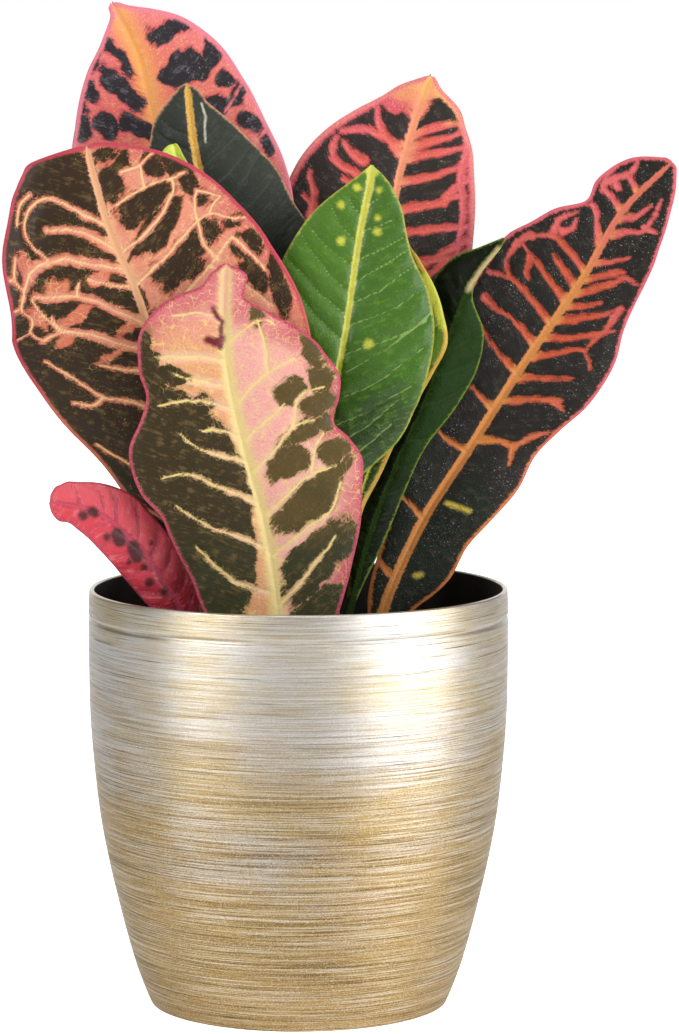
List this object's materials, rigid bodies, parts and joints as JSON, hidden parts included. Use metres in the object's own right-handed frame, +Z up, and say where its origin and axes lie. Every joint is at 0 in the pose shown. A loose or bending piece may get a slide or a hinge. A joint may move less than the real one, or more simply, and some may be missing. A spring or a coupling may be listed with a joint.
{
  "type": "potted croton",
  "caption": "Potted croton: upright, broad, patterned leaves on short stems in a nursery pot of soil, set in a tapered, brushed-metal-look cover pot.",
  "frame": {"origin": "centre of the cover pot's underside", "axes": "+Z up along the pot's axis, -Y towards the viewer, +X to the viewer's right"},
  "size_m": [0.1929, 0.1526, 0.2868],
  "materials": {
    "pot": "brushed gold and silver metallic",
    "grow_pot": "black, satin",
    "soil": "dark loose compost",
    "bark": "green-brown bark",
    "leaf_yellow_pink": "blackish with a yellow-orange rib and pink veins, satin",
    "leaf_coral": "blackish with coral veins, satin",
    "leaf_dark": "dark slate green, satin",
    "leaf_lime": "yellow-green, glossy",
    "leaf_olive_rose": "olive-black with salmon veins, satin",
    "leaf_peach": "peach with olive islands and cream veins, satin",
    "leaf_green": "green with a yellow rib, glossy",
    "leaf_deep_green": "deep green with a pale edge, satin",
    "leaf_black_red": "blackish green with red veins, satin",
    "leaf_crimson": "crimson pink, satin"
  },
  "bodies": {
    "root": {"pot": "pot", "grow_pot": "grow_pot", "soil": "soil", "stem_front": "bark", "stem_left": "bark", "stem_right": "bark", "stem_rear": "bark", "leaf_back_left": "leaf_yellow_pink", "leaf_back_right": "leaf_coral", "leaf_centre_dark": "leaf_dark", "leaf_young": "leaf_lime", "leaf_left": "leaf_olive_rose", "leaf_front": "leaf_peach", "leaf_centre_green": "leaf_green", "leaf_centre_narrow": "leaf_green", "leaf_right_folded": "leaf_deep_green", "leaf_right": "leaf_black_red", "leaf_left_low": "leaf_crimson", "leaf_rear_upright": "leaf_dark", "leaf_rear_left_high": "leaf_coral", "leaf_rear_right_high": "leaf_yellow_pink", "leaf_rear_left_low": "leaf_olive_rose", "leaf_rear_right_low": "leaf_dark", "leaf_rear_drooping": "leaf_green", "leaf_left_rear": "leaf_crimson"}
  },
  "joints": []
}
